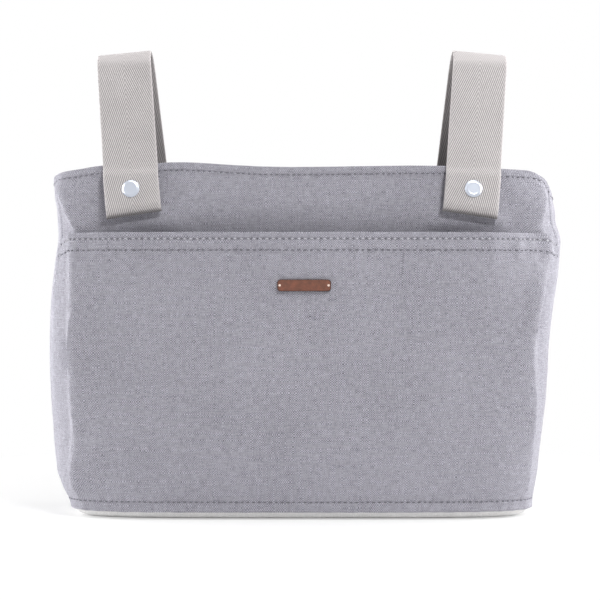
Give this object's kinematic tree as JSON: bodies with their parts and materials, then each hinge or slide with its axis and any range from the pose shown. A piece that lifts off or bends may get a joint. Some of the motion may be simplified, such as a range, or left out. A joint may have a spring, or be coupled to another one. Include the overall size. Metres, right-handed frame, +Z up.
{
  "type": "stroller bag",
  "caption": "Soft fabric bag with a full-width front pocket, a leather tab and webbing straps that snap over a stroller handlebar.",
  "frame": {"origin": "centre of the flat underside of the base, under the middle of the bag's body without the pocket", "axes": "+Z up, -Y towards the front with the pocket, +X to the right as seen from the front, along the handlebar"},
  "size_m": [0.4004, 0.1234, 0.3664],
  "materials": {
    "panel_cloth": "matt plain-weave cloth, cool grey",
    "lining_cloth": "smooth thin lining, light grey",
    "base_sheet": "stiff pressed board",
    "strap_webbing": "herringbone webbing, warm light grey",
    "snap_metal": "bright satin nickel",
    "label_leather": "brown leather, waxed, darker cut edge",
    "pin_metal": "small pale metal pins"
  },
  "bodies": {
    "root": {"front_panel": "panel_cloth", "back_panel": "panel_cloth", "left_side_gusset": "panel_cloth", "right_side_gusset": "panel_cloth", "base_panel": "panel_cloth", "pocket_panel": "panel_cloth", "lining": "lining_cloth", "base_board": "base_sheet", "left_strap": "strap_webbing", "right_strap": "strap_webbing", "left_snap_cap": "snap_metal", "left_snap_socket": "snap_metal", "left_snap_stud": "snap_metal", "left_snap_plate": "snap_metal", "right_snap_cap": "snap_metal", "right_snap_socket": "snap_metal", "right_snap_stud": "snap_metal", "right_snap_plate": "snap_metal", "label": "label_leather", "label_left_pin": "pin_metal", "label_right_pin": "pin_metal"}
  },
  "joints": []
}
